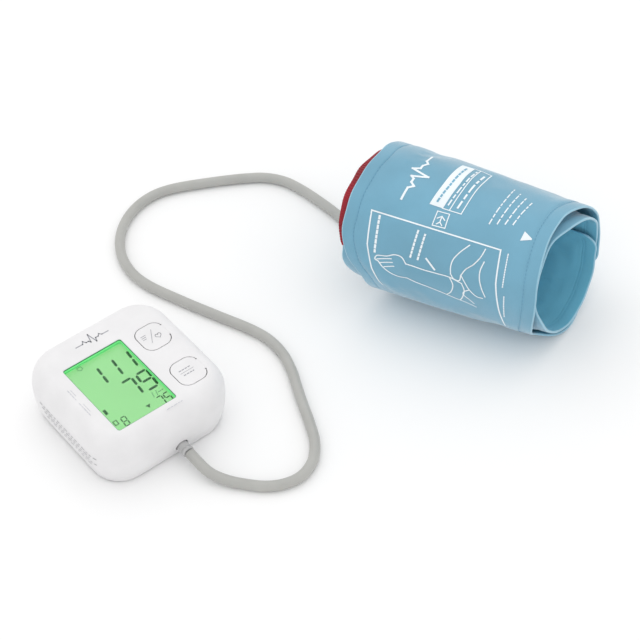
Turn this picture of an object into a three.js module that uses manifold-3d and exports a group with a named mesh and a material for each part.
// Upper arm blood pressure monitor: a table-top reader with a lit display, an air hose that lies
// on the table, and a rolled fabric arm cuff.
// Millimetres, +Z up. +X runs along the rolled cuff, the table is z = 0, and the origin is the
// middle of the reader and cuff's footprint. The reader is built in its own frame (X across the
// display, Y up the display) and turned into place by one group.

import * as THREE from 'three';
import { mergeVertices } from 'three/addons/utils/BufferGeometryUtils.js';
import Module from 'manifold-3d';

const wasm = await Module();
wasm.setup();

// ---- driving dimensions ----

const GAP = 0.3; // clearance between pieces that touch

// Reader
const READER_PLACE = new THREE.Vector3(-95.3, -93.6, 0);
const READER_TURN = THREE.MathUtils.degToRad(62.5);
const CASE_HALF = 54; // half the side of the square case at its widest level
const CASE_TOP = 45.4;
const CASE_BELT = 27.4; // the widest level
const CASE_CORNER = 25; // corner radius seen from above
// Above the belt the wall is a quarter of an ellipse up to the flat top, and below it a part of one.
const CASE_SHOULDER = { in: 11.8, up: 18 };
const CASE_SKIRT = { in: 5.5, down: 25 };
const CASE_WALL = 2.2;
const BASE_BOTTOM = 1.2; // underside of the base, above the table
const BASE_FLOOR = 3.4;
const SEAM = 3.7; // bottom edge of the top cover
const CORNER_STEPS = 6;

const SCREEN = { x: -11.9, y: -8.4, width: 47, height: 66 };
const KEYS = [
  { name: 'memory', x: 30.3, y: 11.9 },
  { name: 'start_stop', x: 30.7, y: -28.2 },
];
const KEY = { halfX: 10.4, halfY: 11.1, corner: 7, thickness: 1.6, slot: 0.7, post: 2 };
const PORT = { x: 5.4, z: 8.9, hole: 4.8 };
const POST = { x: 41.5, y: 37.5 }; // screw posts and feet, from the middle
const BAY = { x0: -17, x1: 28, y0: -7, y1: 45.6, roof: 15.2, wall: 1.4 };
const COVER = { x0: -19.5, x1: 30.5, y0: -9, tongue: 1, top: 2.9 };
const CELL = { radius: 5.25, length: 44.5, nub: 0.8, pitch: 11.1, z: 8.8 };
const BOARD = { z0: 31, z1: 32.6, half: 43, corner: 16 };
const PUMP = { x: -33, z: 17, radius: 12 };
const TUBE = { y: -31, z: 17, outer: 3.3, bore: 2.1, socketBore: 2.4 }; // the inner air tube

// Hose and its plug
const HOSE_RADIUS = 3.75;
const PLUG_RADIUS = 4.1;

// Cuff: a sheet rolled a little more than two turns into a slightly conical roll.
// Angles are in degrees about the roll's axis: 0 at the back, 90 at the top, 180 at the front.
const CUFF = { x: 13.2, y: 104.8, length: 137.6, radius: 52.9, narrowing: 0.075 };
const PLY = 0.8; // fabric ply
const BLADDER = 1.2;
// Radius of the middle of the sheet by angle, from the free inner end to the outer end.
const SPIRAL = [
  [5, 41], [-45, 42.2], [-90, 44], [-135, 46.4], [-180, 47.5], [-225, 45.4], [-270, 43],
  [-315, 44.6], [-360, 46.5], [-385, 47.4], [-415, 48.6], [-450, 51.7], [-500, 51.9],
  [-755, 51.9],
];
// The sheet's left and right rim along X by angle: it was rolled askew, so the rims lean, and the
// inner turn stands out of the outer one at the left front.
const RIMS = [
  [5, 27.8, 157.8], [-75, 31.1, 158.8], [-140, 9.8, 149.8], [-165, 0, 145.3], [-190, -1.8, 139.3],
  [-225, -7, 137.1], [-250, -5.4, 138.8], [-280, -1, 146.3], [-315, 7.5, 153.8],
  [-375, 20.8, 156.3], [-440, 23.8, 157], [-465, 23.8, 153.5], [-477, 23.3, 148.5],
  [-487, 22.6, 139.5], [-500, 20, 138], [-525, 13.1, 139.3], [-545, 3.8, 140.8],
  [-570, -2.2, 138.3], [-595, -1.7, 137.1], [-635, 3.3, 139.5], [-675, 8.8, 151],
  [-715, 14.3, 156], [-755, 17.8, 159],
];
const BLADDER_FROM = -12;
const BLADDER_TO = -318;
const FLAP_FROM = -690;
const FLAP_TO = -755;

// ---- materials ----

function material(color, roughness, metalness = 0) {
  return new THREE.MeshStandardMaterial({ color, roughness, metalness });
}

const white = material(0xf1efef, 0.42);
const clear = material(0xdfeeea, 0.08);
const lcdGreen = material(0xa0df9c, 0.25);
const diffuser = material(0xf4fff2, 0.5);
const boardGreen = material(0x1f6b45, 0.55);
const blackPlastic = material(0x232427, 0.5);
const steel = material(0xb9bcc0, 0.3, 1);
const rubber = material(0x8e9092, 0.85);
const cellJacket = material(0x3d6f8f, 0.35);
const hoseGrey = material(0xb6b6b3, 0.5);
const plugGrey = material(0xbdbdbc, 0.4);
const fabricBlue = material(0x8cbbd2, 0.7);
const liningBlue = material(0x4f8aa5, 0.85);
const bladderTpu = material(0xcfd6d8, 0.5);
const hookWhite = material(0x7fb0c8, 0.9);
const crimson = material(0x922e3e, 0.8);

// ---- geometry helpers ----

// A closed solid through rings of equal point count, with flat caps on the first and last ring.
function loft(rings) {
  const count = rings[0].length;
  const positions = rings.flat().flatMap((p) => [p.x, p.y, p.z]);
  const index = [];
  for (let r = 0; r + 1 < rings.length; r += 1) {
    for (let i = 0; i < count; i += 1) {
      const a = r * count + i;
      const b = r * count + ((i + 1) % count);
      index.push(a, b, b + count, a, b + count, a + count);
    }
  }
  const last = (rings.length - 1) * count;
  for (let i = 1; i + 1 < count; i += 1) {
    index.push(0, i + 1, i);
    index.push(last, last + i, last + i + 1);
  }
  const geometry = new THREE.BufferGeometry();
  geometry.setAttribute('position', new THREE.Float32BufferAttribute(positions, 3));
  geometry.setIndex(index);
  return outward(geometry);
}

// Turns the faces out if the volume they enclose comes out negative.
function outward(geometry) {
  const p = geometry.getAttribute('position');
  const [a, b, c] = [new THREE.Vector3(), new THREE.Vector3(), new THREE.Vector3()];
  const index = geometry.index ? Array.from(geometry.index.array) : [...Array(p.count).keys()];
  let volume = 0;
  for (let i = 0; i < index.length; i += 3) {
    a.fromBufferAttribute(p, index[i]);
    b.fromBufferAttribute(p, index[i + 1]);
    c.fromBufferAttribute(p, index[i + 2]);
    volume += a.dot(b.cross(c));
  }
  if (volume < 0) {
    for (let i = 0; i < index.length; i += 3) {
      [index[i], index[i + 1]] = [index[i + 1], index[i]];
    }
  }
  geometry.setIndex(index);
  return geometry;
}

function toSolid(geometry) {
  const bare = geometry.clone();
  bare.deleteAttribute('normal');
  bare.deleteAttribute('uv');
  const merged = outward(mergeVertices(bare, 1e-4));
  return new wasm.Manifold(new wasm.Mesh({
    numProp: 3,
    vertProperties: new Float32Array(merged.getAttribute('position').array),
    triVerts: new Uint32Array(merged.index.array),
  }));
}

function fromSolid(solid) {
  const mesh = solid.getMesh();
  const geometry = new THREE.BufferGeometry();
  geometry.setAttribute('position', new THREE.Float32BufferAttribute(mesh.vertProperties, 3));
  geometry.setIndex(Array.from(mesh.triVerts));
  return geometry;
}

// Joins the first list of geometries and cuts the second list from them.
function shape(joined, cuts = []) {
  let solid = toSolid(joined[0]);
  for (const geometry of joined.slice(1)) solid = solid.add(toSolid(geometry));
  for (const geometry of cuts) solid = solid.subtract(toSolid(geometry));
  return fromSolid(solid);
}

function common(first, second) {
  return fromSolid(toSolid(first).intersect(toSolid(second)));
}

function block(x0, x1, y0, y1, z0, z1) {
  const box = new THREE.BoxGeometry(x1 - x0, y1 - y0, z1 - z0);
  return box.translate((x0 + x1) / 2, (y0 + y1) / 2, (z0 + z1) / 2);
}

// Upright cylinder about (x, y).
function rodZ(radius, z0, z1, x, y, sides = 20) {
  const rod = new THREE.CylinderGeometry(radius, radius, z1 - z0, sides);
  return rod.rotateX(Math.PI / 2).translate(x, y, (z0 + z1) / 2);
}

// Cylinder along Y at (x, z).
function rodY(radius, y0, y1, x, z, sides = 20) {
  const rod = new THREE.CylinderGeometry(radius, radius, y1 - y0, sides);
  return rod.translate(x, (y0 + y1) / 2, z);
}

// Cylinder along X at (y, z).
function rodX(radius, x0, x1, y, z, sides = 20) {
  const rod = new THREE.CylinderGeometry(radius, radius, x1 - x0, sides);
  return rod.rotateZ(Math.PI / 2).translate((x0 + x1) / 2, y, z);
}

// Points of a rectangle with round corners.
function roundedOutline(halfX, halfY, radius, steps = CORNER_STEPS) {
  const points = [];
  for (let corner = 0; corner < 4; corner += 1) {
    const signX = corner === 0 || corner === 3 ? 1 : -1;
    const signY = corner < 2 ? 1 : -1;
    for (let i = 0; i <= steps; i += 1) {
      const angle = (Math.PI / 2) * (corner + i / steps);
      points.push(new THREE.Vector2(
        signX * (halfX - radius) + radius * Math.cos(angle),
        signY * (halfY - radius) + radius * Math.sin(angle),
      ));
    }
  }
  return points;
}

function roundedPrism(halfX, halfY, radius, z0, z1, x = 0, y = 0) {
  const outline = new THREE.Shape(roundedOutline(halfX, halfY, radius));
  const prism = new THREE.ExtrudeGeometry(outline, { depth: z1 - z0, bevelEnabled: false });
  return prism.translate(x, y, z0);
}

// One level of the case: its outline drawn in by an inset, at a height.
function caseRing(inset, z) {
  const outline = roundedOutline(CASE_HALF - inset, CASE_HALF - inset, CASE_CORNER - inset);
  return outline.map((p) => new THREE.Vector3(p.x, p.y, z));
}

// How far the wall is drawn in at a level below the belt.
function skirtInset(z) {
  const fall = (CASE_BELT - z) / CASE_SKIRT.down;
  return CASE_SKIRT.in * (1 - Math.sqrt(1 - fall * fall));
}

function sweep(points, radius, steps, sides = 8) {
  const outline = new THREE.Shape();
  for (let i = 0; i < sides; i += 1) {
    const angle = (2 * Math.PI * i) / sides;
    const x = radius * Math.cos(angle);
    const y = radius * Math.sin(angle);
    if (i === 0) outline.moveTo(x, y);
    else outline.lineTo(x, y);
  }
  outline.closePath();
  const path = new THREE.CatmullRomCurve3(points, false, 'centripetal');
  return new THREE.ExtrudeGeometry(outline, { steps, bevelEnabled: false, extrudePath: path });
}

const part = new THREE.Group();
const reader = new THREE.Group();
reader.position.copy(READER_PLACE);
reader.rotation.z = READER_TURN;
part.add(reader);

function addPiece(parent, name, geometry, finish) {
  const mesh = new THREE.Mesh(geometry, finish);
  mesh.name = name;
  parent.add(mesh);
  return mesh;
}

// ---- reader: case ----

// Rings up the wall from the seam to the flat top, a wall's thickness inside the outer face.
function wallRings(wall) {
  const rings = [SEAM, 8, 14, 20].map((z) => caseRing(skirtInset(z) + wall, z));
  for (const degrees of [0, 15, 30, 45, 60, 75, 90]) {
    const turn = THREE.MathUtils.degToRad(degrees);
    const inset = wall + (CASE_SHOULDER.in - wall) * (1 - Math.cos(turn));
    rings.push(caseRing(inset, CASE_BELT + (CASE_SHOULDER.up - wall) * Math.sin(turn)));
  }
  return rings;
}

function topCoverShell() {
  return loft([...wallRings(CASE_WALL).reverse(), ...wallRings(0)]);
}

function corners(radius, z0, z1, sides = 16) {
  const found = [];
  for (const x of [-POST.x, POST.x]) {
    for (const y of [-POST.y, POST.y]) found.push(rodZ(radius, z0, z1, x, y, sides));
  }
  return found;
}

function keyHole(key) {
  // The slot is wide on three sides. On the hinge side, +X, the key meets the cover.
  const halfX = KEY.halfX + (KEY.slot + GAP) / 2;
  const x = key.x - (KEY.slot - GAP) / 2;
  return roundedPrism(halfX, KEY.halfY + KEY.slot, KEY.corner + KEY.slot / 2,
    CASE_TOP - CASE_WALL - 0.2, CASE_TOP + 1, x, key.y);
}

function makeTopCover() {
  const halfX = SCREEN.width / 2;
  const halfY = SCREEN.height / 2;
  const cuts = [
    roundedPrism(halfX, halfY, 1.5, CASE_TOP - CASE_WALL - 1, CASE_TOP + 1, SCREEN.x, SCREEN.y),
    rodY(PORT.hole, -CASE_HALF - 2, -CASE_HALF + 8, PORT.x, PORT.z, 24),
    ...KEYS.map(keyHole),
    ...corners(1.4, 11, 30),
  ];
  return shape([topCoverShell(), ...corners(3.2, 12.3, CASE_TOP - CASE_WALL - 0.6)], cuts);
}

function makeBaseCover() {
  const taper = skirtInset(SEAM);
  const edge = CASE_HALF - taper - 0.2;
  const rim = CASE_HALF - taper - CASE_WALL - 0.6;
  const rimCorner = CASE_CORNER - taper - CASE_WALL;
  const { x0, x1, y0, y1, roof, wall } = BAY;
  const joined = [
    roundedPrism(edge, edge, CASE_CORNER - taper, BASE_BOTTOM, BASE_FLOOR),
    shape(
      [roundedPrism(rim, rim, rimCorner, BASE_FLOOR - 0.5, 9)],
      [roundedPrism(rim - 1.6, rim - 1.6, rimCorner - 1.6, BASE_FLOOR - 1, 10)],
    ),
    block(x0 - wall, x1 + wall, y0 - wall, y1 + wall, BASE_FLOOR - 0.5, roof + wall),
    block(PUMP.x - 9, PUMP.x + 9, 4, 7, BASE_FLOOR - 0.5, 11),
    block(PUMP.x - 9, PUMP.x + 9, 21, 24, BASE_FLOOR - 0.5, 11),
    ...corners(3, BASE_FLOOR - 0.5, 12),
  ];
  const cuts = [
    block(x0, x1, y0, y1, 0, roof),
    block(COVER.x0, COVER.x1, COVER.y0, CASE_HALF, 0, COVER.top),
    block(COVER.x0 - COVER.tongue, COVER.x1 + COVER.tongue, COVER.y0, CASE_HALF, 2, COVER.top),
    block(PORT.x - 6.5, PORT.x + 6.5, -CASE_HALF, -rim + 3, BASE_FLOOR, 12),
    rodY(PUMP.radius + GAP, 0, 30, PUMP.x, PUMP.z, 32),
    ...corners(5.3, 0, 1.9, 24),
    ...corners(2.6, 0, 3.9),
    ...corners(1.6, 3, 14),
  ];
  return shape(joined, cuts);
}

function makeBatteryCover() {
  const taper = skirtInset(SEAM);
  const edge = CASE_HALF - taper - 0.4;
  const outline = roundedPrism(edge, edge, CASE_CORNER - taper, BASE_BOTTOM, 2.6);
  const plate = block(COVER.x0 + GAP, COVER.x1 - GAP, COVER.y0 + GAP, CASE_HALF, 1, 3);
  const tongues = block(
    COVER.x0 - COVER.tongue + GAP, COVER.x1 + COVER.tongue - GAP, COVER.y0 + 3, 30, 2.3, 3,
  );
  const gripX = (COVER.x0 + COVER.x1) / 2;
  const grips = [-4, -1, 2, 5].map((y) => block(gripX - 8, gripX + 8, y, y + 1, 0, 1.6));
  return shape([common(outline, shape([plate, tongues]))], grips);
}

addPiece(reader, 'top_cover', makeTopCover(), white);
addPiece(reader, 'base_cover', makeBaseCover(), white);
addPiece(reader, 'battery_cover', makeBatteryCover(), white);

// ---- reader: display ----

const windowTop = CASE_TOP - CASE_WALL - 0.9;
const halfScreenX = SCREEN.width / 2;
const halfScreenY = SCREEN.height / 2;

function screenPrism(margin, z0, z1) {
  return roundedPrism(halfScreenX + margin, halfScreenY + margin, 1, z0, z1, SCREEN.x, SCREEN.y);
}

addPiece(reader, 'display_window', screenPrism(1.5, windowTop - 1, windowTop), clear);
addPiece(reader, 'lcd_panel', screenPrism(0.3, 38.4, 40.6), lcdGreen);
addPiece(reader, 'lcd_backlight', screenPrism(0.3, 36, 38.1), diffuser);
addPiece(reader, 'lcd_frame', shape(
  [screenPrism(2.6, 33, 41)],
  [screenPrism(-1.5, 32, 42), screenPrism(0.7, 35.7, 42)],
), blackPlastic);

// ---- reader: keys, switches and board ----

for (const key of KEYS) {
  const plate = roundedPrism(
    KEY.halfX, KEY.halfY, KEY.corner, CASE_TOP - KEY.thickness, CASE_TOP, key.x, key.y,
  );
  const post = rodZ(KEY.post, 41.6, CASE_TOP - KEY.thickness + 0.5, key.x, key.y, 16);
  addPiece(reader, `${key.name}_key`, shape([plate, post]), white);
  const body = block(key.x - 3, key.x + 3, key.y - 3, key.y + 3, BOARD.z1 + GAP, 36.4);
  const plunger = rodZ(1.7, 36, 40.9, key.x, key.y, 16);
  addPiece(reader, `${key.name}_switch`, shape([body, plunger]), blackPlastic);
}

addPiece(reader, 'main_board', shape(
  [roundedPrism(BOARD.half, BOARD.half, BOARD.corner, BOARD.z0, BOARD.z1)],
  corners(4.4, BOARD.z0 - 1, BOARD.z1 + 1),
), boardGreen);

// ---- reader: air system ----

const headFront = -26;
addPiece(reader, 'pump_motor', rodY(PUMP.radius, 0.3, 30, PUMP.x, PUMP.z, 24), steel);
addPiece(reader, 'pump_head', shape([
  roundedPrism(11.5, 12, 3, headFront, 0).rotateX(-Math.PI / 2)
    .translate(PUMP.x, 0, PUMP.z),
  rodY(1.8, headFront - 3.5, headFront + 1, PUMP.x, PUMP.z, 12),
]), blackPlastic);

const VALVE_X = -8;
addPiece(reader, 'exhaust_valve', shape([
  block(VALVE_X - 7, VALVE_X + 7, -22.7, -9.2, TUBE.z - 7, TUBE.z + 7),
  rodY(1.8, -26.5, -22, VALVE_X, TUBE.z, 12),
]), blackPlastic);

const SENSOR = { x: 18, y: -18 };
addPiece(reader, 'pressure_sensor', shape([
  block(SENSOR.x - 5, SENSOR.x + 5, SENSOR.y - 5, SENSOR.y + 5, 25, BOARD.z0 - GAP),
  rodZ(1.6, 21, 25.5, SENSOR.x, SENSOR.y, 12),
]), blackPlastic);

addPiece(reader, 'air_socket', shape(
  [rodY(5.2, -47.4, -38, PORT.x, PORT.z, 24), rodY(2.1, -39, -33.5, PORT.x, PORT.z, 16)],
  [
    rodY(4.5, -49, -45.6, PORT.x, PORT.z, 24),
    rodY(2.6, -46, -39.5, PORT.x, PORT.z, 16),
    rodY(1.2, -40, -33, PORT.x, PORT.z, 12),
  ],
), plugGrey);

// The tube's main along X and its branches to the pump, the valve, the sensor and the port.
// The bore stops short of the closed ends and runs out past the open ones.
function tubeRuns(radius, atClosed, pastOpen) {
  return [
    rodX(radius, PUMP.x - atClosed, SENSOR.x + atClosed, TUBE.y, TUBE.z, 12),
    rodY(radius, TUBE.y, headFront - 0.8 + pastOpen, PUMP.x, TUBE.z, 12),
    rodY(radius, TUBE.y, -23.4 + pastOpen, VALVE_X, TUBE.z, 12),
    rodY(radius, TUBE.y, SENSOR.y + atClosed, SENSOR.x, TUBE.z, 12),
    rodZ(radius, TUBE.z, 24 + pastOpen, SENSOR.x, SENSOR.y, 12),
    rodZ(radius, PORT.z - atClosed, TUBE.z, PORT.x, TUBE.y, 12),
  ];
}

function makeAirTube() {
  const toSocket = rodY(TUBE.outer, -37.3, TUBE.y, PORT.x, PORT.z, 16);
  const socketBore = rodY(TUBE.socketBore, -38, TUBE.y, PORT.x, PORT.z, 16);
  return shape([...tubeRuns(TUBE.outer, 3, 0), toSocket], [...tubeRuns(TUBE.bore, 1, 2), socketBore]);
}

addPiece(reader, 'air_tube', makeAirTube(), rubber);

// ---- reader: cells and contacts ----

const plusY = BAY.y1 - 1.6;
const minusY = BAY.y0 + 1.6;

for (let i = 0; i < 4; i += 1) {
  const x = -11.1 + CELL.pitch * i;
  const forward = i % 2 === 0; // the nub points to +Y
  const nubEnd = forward ? plusY : minusY;
  const away = forward ? -1 : 1; // from the nub towards the flat end
  const bodyEnd = nubEnd + away * CELL.nub;
  const flatEnd = nubEnd + away * CELL.length;
  addPiece(reader, `battery_${i + 1}`, shape([
    rodY(CELL.radius, Math.min(bodyEnd, flatEnd), Math.max(bodyEnd, flatEnd), x, CELL.z, 24),
    rodY(1.9, Math.min(nubEnd, bodyEnd - 1), Math.max(nubEnd, bodyEnd + 1), x, CELL.z, 12),
  ]), cellJacket);

  const plateY = forward ? BAY.y1 - 0.6 : BAY.y0 + 0.6;
  addPiece(reader, `contact_plate_${i + 1}`,
    block(x - 4, x + 4, plateY - 0.3, plateY + 0.3, CELL.z - 4, CELL.z + 4), steel);

  const springStart = flatEnd + away * 0.8;
  const springEnd = (forward ? BAY.y0 : BAY.y1) - away * 0.7;
  const helix = [];
  const turns = 2.5;
  for (let k = 0; k <= 25; k += 1) {
    const t = k / 25;
    const angle = 2 * Math.PI * turns * t;
    helix.push(new THREE.Vector3(
      x + 3 * Math.cos(angle),
      THREE.MathUtils.lerp(springStart, springEnd, t),
      CELL.z + 3 * Math.sin(angle),
    ));
  }
  addPiece(reader, `contact_spring_${i + 1}`, sweep(helix, 0.4, 30, 6), steel);
}

// ---- reader: screws and feet ----

let corner = 0;
for (const x of [-POST.x, POST.x]) {
  for (const y of [-POST.y, POST.y]) {
    corner += 1;
    addPiece(reader, `case_screw_${corner}`,
      shape([rodZ(2.3, 2.2, 3.6, x, y), rodZ(1.1, 3, 22, x, y, 12)]), steel);
    const foot = [[0, 0], [4.6, 0], [5, 0.4], [5, 1.6], [0, 1.6]];
    const profile = foot.map(([r, z]) => new THREE.Vector2(r, z));
    const turned = new THREE.LatheGeometry(profile, 24).rotateX(Math.PI / 2);
    addPiece(reader, `foot_${corner}`, turned.translate(x, y, 0), rubber);
  }
}

// ---- hose plug, on the reader's front wall ----

addPiece(reader, 'air_plug', shape(
  [
    rodY(2.3, -47, -40, PORT.x, PORT.z, 16),
    rodY(PLUG_RADIUS, -57.5, -45.9, PORT.x, PORT.z, 24),
  ],
  [rodY(1.2, -58, -39, PORT.x, PORT.z, 12)],
), plugGrey);
addPiece(reader, 'plug_ring', shape(
  [rodY(4.4, -60.2, -57.8, PORT.x, PORT.z, 24)],
  [rodY(1.4, -61, -57, PORT.x, PORT.z, 12)],
), plugGrey);

// ---- hose: lies on the table from the plug, round in an open S, to the cuff ----

const LIE = HOSE_RADIUS;
const hoseRoute = [
  [-38.5, -117, 8.9], [-30.7, -121.1, 8.5], [-20.2, -124.9, 6.6], [-7.6, -124.7, 4.6],
  [5.1, -122.1, LIE], [17.3, -118.6, LIE], [28.1, -111.9, LIE], [36, -101.3, LIE],
  [37.9, -86.7, LIE], [32.8, -71.3, LIE], [23.4, -57.8, LIE], [12.9, -45.1, LIE],
  [2.4, -32, LIE], [-8.1, -18.5, LIE], [-20.3, -6.9, LIE], [-34.2, 1, LIE],
  [-48.7, 4.6, LIE], [-77.7, 7.2, LIE], [-107.2, 9.9, LIE], [-137.2, 14.2, LIE],
  [-152.7, 20.1, LIE], [-167, 31.6, LIE], [-177.5, 48.2, LIE], [-182.2, 66.8, LIE],
  [-181.2, 84.5, LIE], [-175.5, 99.5, LIE], [-166.1, 111.1, LIE], [-142.9, 129, LIE],
  [-118.4, 144.9, LIE], [-105.3, 151.1, LIE], [-90.5, 153.1, LIE], [-74.8, 149.9, LIE],
  [-57.2, 143.7, LIE], [-41.2, 136.9, LIE], [-25.2, 128.7, 4.2], [-11.2, 121.6, 6.6],
  [0.8, 117.7, 9.9], [8.3, 116.7, 10.9], [15.2, 116.5, 11],
].map(([x, y, z]) => new THREE.Vector3(x, y, z));
addPiece(part, 'air_hose', outward(sweep(hoseRoute, HOSE_RADIUS, 78, 8)), hoseGrey);

// ---- cuff ----

function spiralRadius(angle) {
  for (let i = 0; i + 1 < SPIRAL.length; i += 1) {
    const [a0, r0] = SPIRAL[i];
    const [a1, r1] = SPIRAL[i + 1];
    if (angle >= a1) {
      const t = THREE.MathUtils.clamp((a0 - angle) / (a0 - a1), 0, 1);
      return r0 + (r1 - r0) * (t * t * (3 - 2 * t));
    }
  }
  return SPIRAL[SPIRAL.length - 1][1];
}

// The left and right rim at an angle, on a smooth curve through the listed places.
function rims(angle) {
  const found = RIMS.findIndex((row) => angle >= row[0]);
  const i = THREE.MathUtils.clamp(found - 1, 0, RIMS.length - 2);
  const near = [i - 1, i, i + 1, i + 2].map((k) => RIMS[THREE.MathUtils.clamp(k, 0, RIMS.length - 1)]);
  const span = near[2][0] - near[1][0];
  const t = (angle - near[1][0]) / span;
  return [1, 2].map((column) => {
    const [before, start, end, after] = near.map((row) => row[column]);
    const startSlope = (span * (end - before)) / (near[2][0] - near[0][0]);
    const endSlope = (span * (after - start)) / (near[3][0] - near[1][0]);
    return start * (2 * t ** 3 - 3 * t ** 2 + 1) + startSlope * (t ** 3 - 2 * t ** 2 + t)
      + end * (3 * t ** 2 - 2 * t ** 3) + endSlope * (t ** 3 - t ** 2);
  });
}

// A point of the roll: angle, height off the sheet's middle, and distance along +X.
function cuffPoint(angle, offset, x) {
  const shrink = 1 - (CUFF.narrowing * (x - CUFF.x)) / CUFF.length;
  const radius = (spiralRadius(angle) + offset) * shrink;
  const radians = THREE.MathUtils.degToRad(angle);
  return new THREE.Vector3(
    x,
    CUFF.y + radius * Math.cos(radians),
    CUFF.radius * shrink + radius * Math.sin(radians),
  );
}

// A curved sheet between two angles and two offsets. The margins draw its ends in from the rims,
// and a width given instead of a right margin is measured from the left end.
function cuffSheet({ from, to, low, high, left = 0, right = 0, width, step = 6 }) {
  const steps = Math.ceil((from - to) / step);
  const rings = [];
  for (let i = 0; i <= steps; i += 1) {
    const angle = from + ((to - from) * i) / steps;
    const [leftRim, rightRim] = rims(angle);
    const x0 = leftRim + left;
    const x1 = width ? x0 + width : rightRim - right;
    rings.push([
      cuffPoint(angle, low, x0), cuffPoint(angle, high, x0),
      cuffPoint(angle, high, x1), cuffPoint(angle, low, x1),
    ]);
  }
  return loft(rings);
}

// Offsets of the plies from the middle of the sheet, which holds the bladder in its inner turn.
const HALF_BLADDER = BLADDER / 2;
const innerFace = { low: HALF_BLADDER + GAP, high: HALF_BLADDER + GAP + PLY };
const innerLining = { low: -innerFace.high, high: -innerFace.low };
const outerFace = { low: GAP / 2, high: GAP / 2 + PLY };
const outerLining = { low: -outerFace.high, high: -outerFace.low };
const TURN_END = -330; // where the sheet leaves the bladder part and becomes the plain wrap
const SPLIT = 0.4; // angle left free between two lengths of a ply

addPiece(part, 'cuff_inner_face', cuffSheet({ from: 5, to: TURN_END, ...innerFace }), fabricBlue);
addPiece(part, 'cuff_inner_lining', cuffSheet({ from: 5, to: TURN_END, ...innerLining }), liningBlue);
addPiece(part, 'cuff_bladder', cuffSheet({
  from: BLADDER_FROM, to: BLADDER_TO, low: -HALF_BLADDER, high: HALF_BLADDER, left: 9, right: 9,
}), bladderTpu);
const outerFrom = TURN_END - SPLIT;
const outerTo = FLAP_FROM + SPLIT;
addPiece(part, 'cuff_outer_face', cuffSheet({ from: outerFrom, to: outerTo, ...outerFace }),
  fabricBlue);
addPiece(part, 'cuff_outer_lining', cuffSheet({ from: outerFrom, to: outerTo, ...outerLining }),
  liningBlue);
addPiece(part, 'flap_face', cuffSheet({ from: FLAP_FROM, to: FLAP_TO, ...outerFace }), fabricBlue);
addPiece(part, 'flap_lining', cuffSheet({ from: FLAP_FROM, to: FLAP_TO, ...outerLining }),
  liningBlue);
addPiece(part, 'hook_patch', cuffSheet({
  from: -700, to: -734, low: outerLining.low - GAP - 0.9, high: outerLining.low - GAP,
  left: 14, right: 14,
}), hookWhite);
addPiece(part, 'loop_patch', cuffSheet({
  from: -337, to: -374, low: outerFace.high + GAP, high: outerFace.high + GAP + 0.9,
  left: 10, right: 10,
}), hookWhite);

// Crimson tape along the left edge of the inner turn, where it stands out of the outer one.
addPiece(part, 'edge_tape', cuffSheet({
  from: -190, to: -292, low: innerFace.high + GAP, high: innerFace.high + GAP + 0.9,
  left: -1.4, width: 14,
}), crimson);

// Spout of the bladder at the left rim of the inner turn: a flat root that becomes a round pipe.
function makeSpout() {
  const [y, z] = [116.5, 11];
  const stations = [
    { x: 28.3, half: 8, rise: 1.5 }, { x: 25.8, half: 7, rise: 2 },
    { x: 22.3, half: 4.6, rise: 4.2 }, { x: 15.8, half: 4.3, rise: 4.3 },
  ];
  const rings = stations.map(({ x, half, rise }) => {
    const ring = [];
    for (let i = 0; i < 16; i += 1) {
      const angle = (2 * Math.PI * i) / 16;
      ring.push(new THREE.Vector3(x, y + half * Math.cos(angle), z + rise * Math.sin(angle)));
    }
    return ring;
  });
  return loft(rings);
}

addPiece(part, 'cuff_spout', makeSpout(), plugGrey);

export default part;
